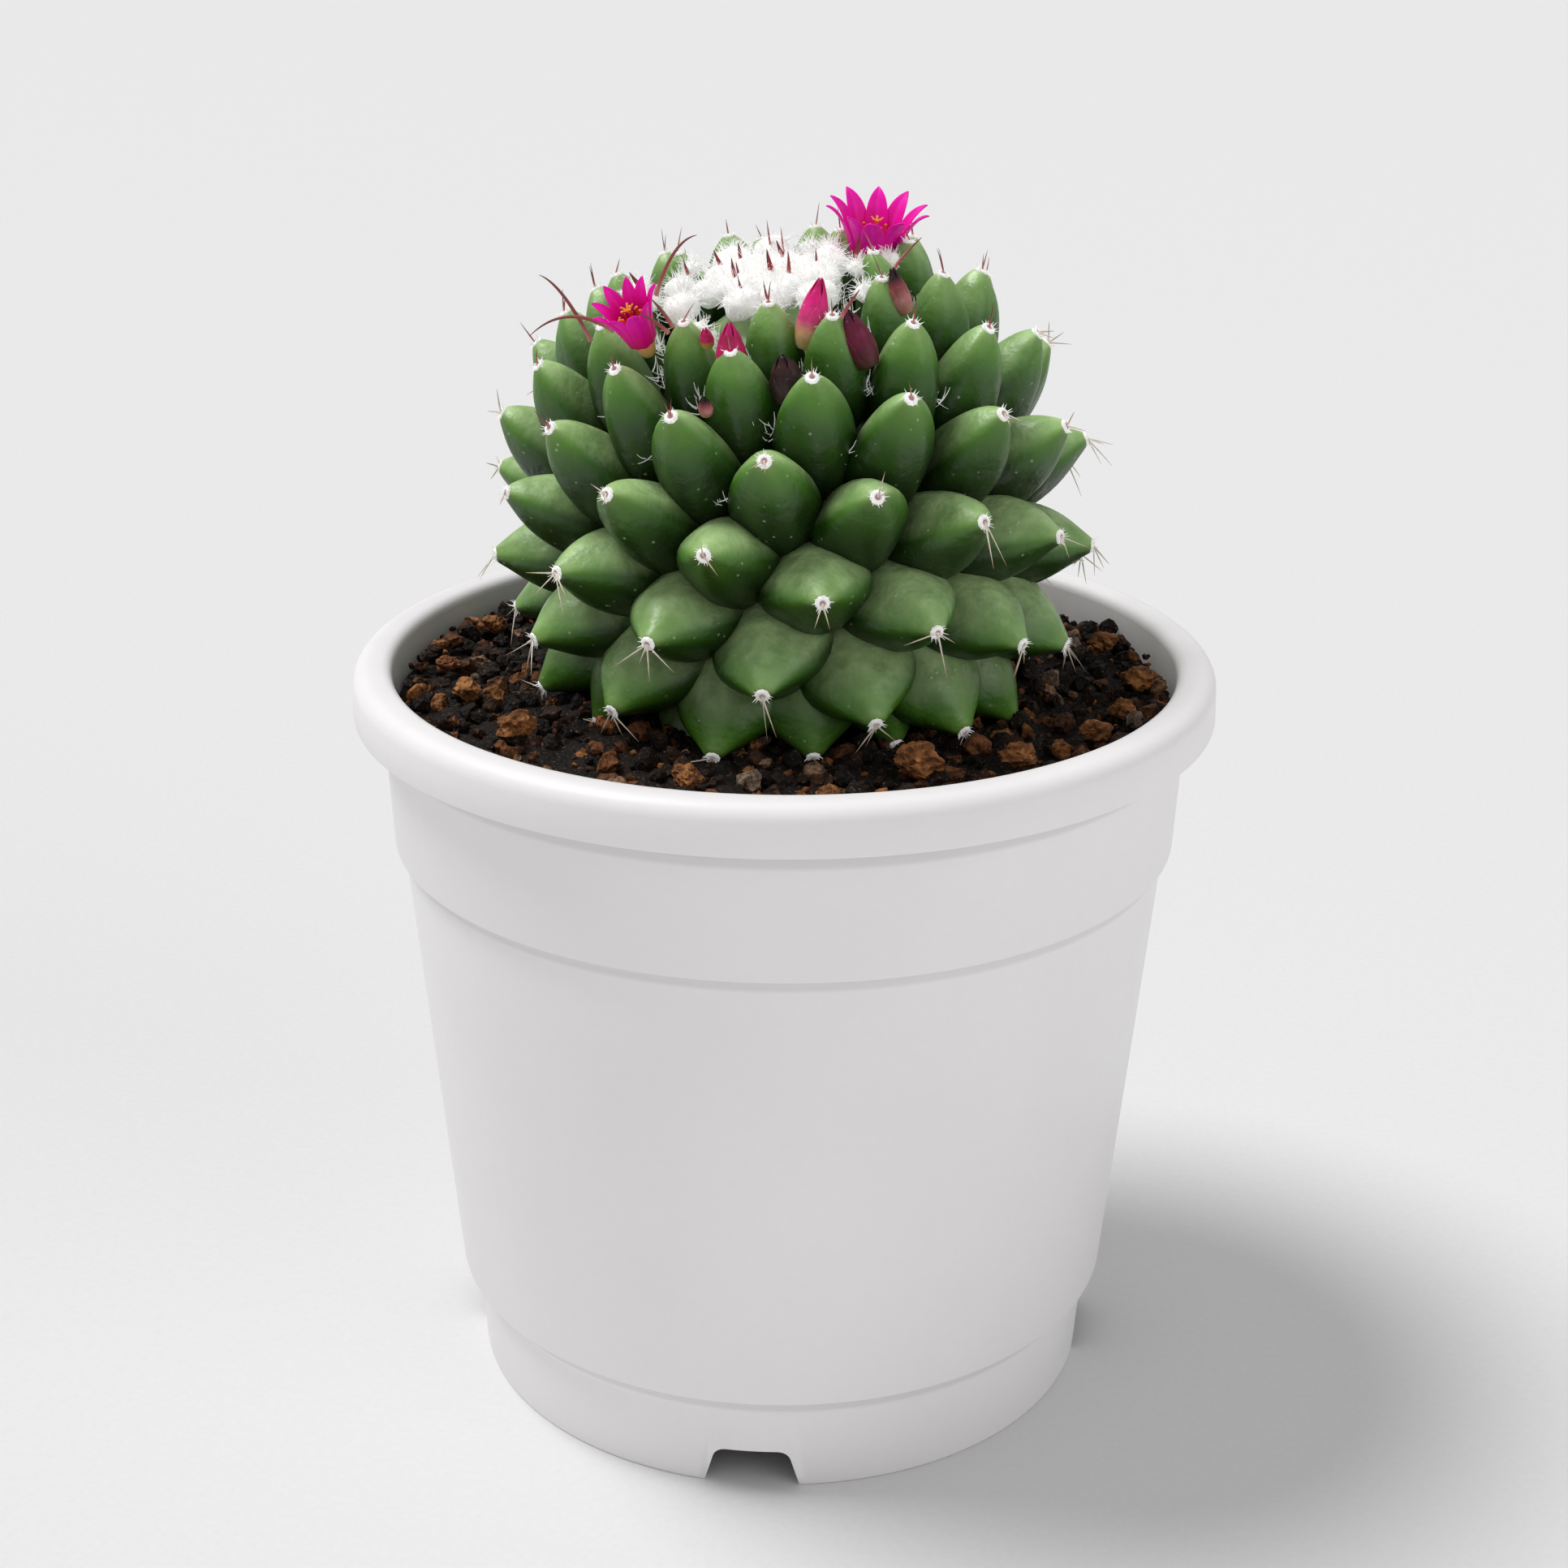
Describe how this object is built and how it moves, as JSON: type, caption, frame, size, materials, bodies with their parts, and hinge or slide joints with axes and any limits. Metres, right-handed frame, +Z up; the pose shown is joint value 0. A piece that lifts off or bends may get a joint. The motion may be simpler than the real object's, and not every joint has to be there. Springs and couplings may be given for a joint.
{
  "type": "potted round cactus",
  "caption": "Round nipple cactus in flower, in a white moulded nursery pot with a rolled rim and a notched foot, filled with gritty potting soil.",
  "frame": {"origin": "centre of the pot's foot, on the surface that the pot stands on", "axes": "+Z up along the pot's axis; a foot notch faces -Y, the side that shows two flowers, one at each shoulder of the crown, with the buds between them; the plant leans towards -X and -Y"},
  "size_m": [0.1204, 0.1204, 0.1708],
  "materials": {
    "white_plastic": "satin",
    "potting_soil": "matte",
    "pumice_grit": "matte",
    "cactus_skin": "satin",
    "cactus_wool": "matte",
    "petal_magenta": "satin",
    "flower_tube": "satin",
    "stamens": "matte",
    "bud_skin": "satin",
    "dried_flower": "matte",
    "spine": "satin"
  },
  "bodies": {
    "root": {"pot": "white_plastic", "potting_soil": "potting_soil", "cactus_stem": "cactus_skin", "crown_wool": "cactus_wool", "grit_stone_01": "pumice_grit", "grit_stone_02": "pumice_grit", "grit_stone_03": "pumice_grit", "grit_stone_04": "pumice_grit", "grit_stone_05": "pumice_grit", "grit_stone_06": "pumice_grit", "grit_stone_07": "pumice_grit", "grit_stone_08": "pumice_grit", "grit_stone_09": "pumice_grit", "grit_stone_10": "pumice_grit", "grit_stone_11": "pumice_grit", "grit_stone_12": "pumice_grit", "grit_stone_13": "pumice_grit", "grit_stone_14": "pumice_grit", "right_flower_tube": "flower_tube", "right_flower_stamens": "stamens", "right_flower_petal_01": "petal_magenta", "right_flower_petal_02": "petal_magenta", "right_flower_petal_03": "petal_magenta", "right_flower_petal_04": "petal_magenta", "right_flower_petal_05": "petal_magenta", "right_flower_petal_06": "petal_magenta", "right_flower_petal_07": "petal_magenta", "right_flower_petal_08": "petal_magenta", "right_flower_petal_09": "petal_magenta", "right_flower_petal_10": "petal_magenta", "left_flower_tube": "flower_tube", "left_flower_stamens": "stamens", "left_flower_petal_01": "petal_magenta", "left_flower_petal_02": "petal_magenta", "left_flower_petal_03": "petal_magenta", "left_flower_petal_04": "petal_magenta", "left_flower_petal_05": "petal_magenta", "left_flower_petal_06": "petal_magenta", "left_flower_petal_07": "petal_magenta", "left_flower_petal_08": "petal_magenta", "left_flower_petal_09": "petal_magenta", "opening_bud": "bud_skin", "round_bud": "bud_skin", "small_bud_1": "bud_skin", "small_bud_2": "bud_skin", "fading_flower": "dried_flower", "dried_flower_1": "dried_flower", "dried_flower_2": "dried_flower", "long_spine_1": "spine", "long_spine_2": "spine", "long_spine_3": "spine", "long_spine_4": "spine", "long_spine_5": "spine", "long_spine_6": "spine", "long_spine_7": "spine"}
  },
  "joints": []
}
